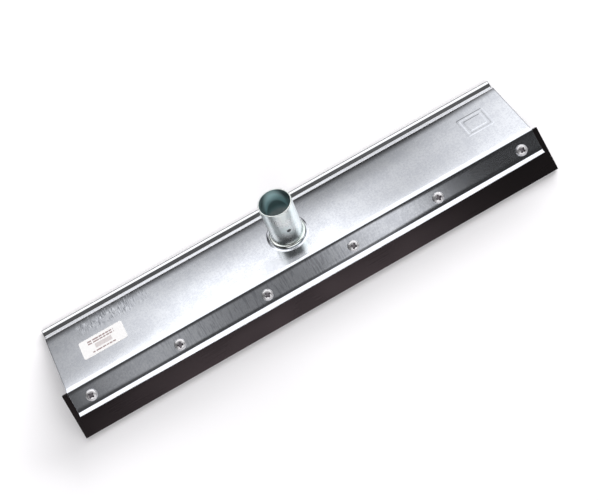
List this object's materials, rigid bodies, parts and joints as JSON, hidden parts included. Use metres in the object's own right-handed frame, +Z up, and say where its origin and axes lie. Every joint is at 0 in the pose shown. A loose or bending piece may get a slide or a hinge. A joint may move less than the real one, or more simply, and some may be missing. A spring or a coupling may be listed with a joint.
{
  "type": "floor squeegee head",
  "caption": "Floor squeegee head: bent galvanised sheet with a grooved, hemmed back edge, a tubular handle socket standing on it and a black rubber blade clamped behind its screwed front face.",
  "frame": {"origin": "centre of the bounding box on the floor, with the head lying on the blade's rear corner and on the hem at its back", "axes": "+X along the blade, +Y from the blade towards the back hem, +Z up from the floor"},
  "size_m": [0.5524, 0.1254, 0.073],
  "materials": {
    "galvanised_sheet": "bright zinc coating, faintly streaked",
    "socket_zinc": "bright blue-green passivated zinc plating",
    "black_rubber": "matt black, cut edges",
    "galvanised_bar": "dull zinc coating",
    "screw_zinc": "bright zinc plating",
    "washer_spring_steel": "grey zinc plating",
    "nut_zinc": "bright zinc plating",
    "label_paper": "white paper sticker, blank"
  },
  "bodies": {
    "root": {"head_plate": "galvanised_sheet", "handle_socket": "socket_zinc", "rubber_blade": "black_rubber", "clamp_bar": "galvanised_bar", "clamp_screw_1": "screw_zinc", "clamp_screw_2": "screw_zinc", "clamp_screw_3": "screw_zinc", "clamp_screw_4": "screw_zinc", "clamp_screw_5": "screw_zinc", "clamp_screw_6": "screw_zinc", "lock_washer_1": "washer_spring_steel", "lock_washer_2": "washer_spring_steel", "lock_washer_3": "washer_spring_steel", "lock_washer_4": "washer_spring_steel", "lock_washer_5": "washer_spring_steel", "lock_washer_6": "washer_spring_steel", "clamp_nut_1": "nut_zinc", "clamp_nut_2": "nut_zinc", "clamp_nut_3": "nut_zinc", "clamp_nut_4": "nut_zinc", "clamp_nut_5": "nut_zinc", "clamp_nut_6": "nut_zinc", "paper_label": "label_paper"}
  },
  "joints": []
}
